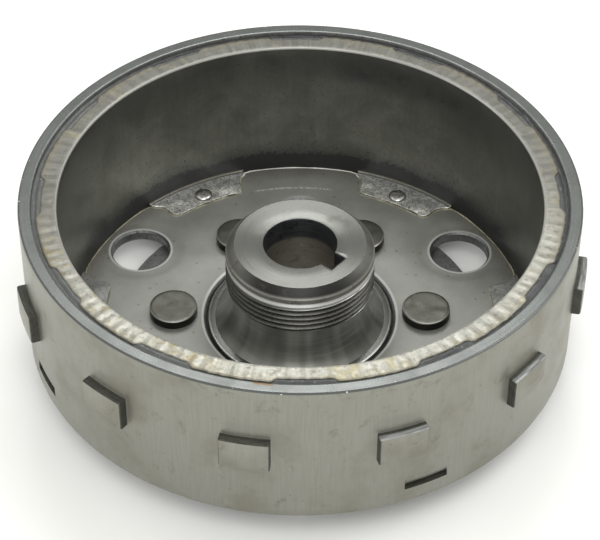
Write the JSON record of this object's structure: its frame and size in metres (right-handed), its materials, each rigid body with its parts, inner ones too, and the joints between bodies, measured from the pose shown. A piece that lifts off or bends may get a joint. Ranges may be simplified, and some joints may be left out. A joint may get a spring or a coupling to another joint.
{
  "type": "flywheel",
  "caption": "Cup-shaped magneto flywheel of a small engine, with riveted hub, puller thread, tapered keyed bore, lined magnets and pressed-out trigger lugs.",
  "frame": {"origin": "on the crankshaft axis, in the plane of the hub flange's underside", "axes": "+Z along the crankshaft axis towards the open side and the hub's nut face; the large floor holes lie at 30, 150 and 270 degrees from +X"},
  "size_m": [0.136, 0.136, 0.048],
  "materials": {
    "shell_steel": "satin steel with faint vertical drawing lines and oil stains",
    "hub_steel": "fine turned steel",
    "rivet_steel": "turned head, brownish grey",
    "magnet": "matt sintered",
    "holder_plastic": "matt moulded",
    "cover_sheet": "thin rolled sheet, wrinkled where it is turned over",
    "resin": "dark cured resin, uneven",
    "pin_steel": "bright staked steel"
  },
  "bodies": {
    "root": {"yoke_shell": "shell_steel", "hub": "hub_steel", "rivet_1": "rivet_steel", "rivet_2": "rivet_steel", "rivet_3": "rivet_steel", "rivet_4": "rivet_steel", "rivet_5": "rivet_steel", "rivet_6": "rivet_steel", "magnet_01": "magnet", "magnet_02": "magnet", "magnet_03": "magnet", "magnet_04": "magnet", "magnet_05": "magnet", "magnet_06": "magnet", "magnet_07": "magnet", "magnet_08": "magnet", "magnet_09": "magnet", "magnet_10": "magnet", "magnet_11": "magnet", "magnet_12": "magnet", "magnet_holder": "holder_plastic", "magnet_cover": "cover_sheet", "rim_resin": "resin", "cover_pin_1": "pin_steel", "cover_pin_2": "pin_steel", "cover_pin_3": "pin_steel", "cover_pin_4": "pin_steel", "cover_pin_5": "pin_steel", "cover_pin_6": "pin_steel"}
  },
  "joints": []
}
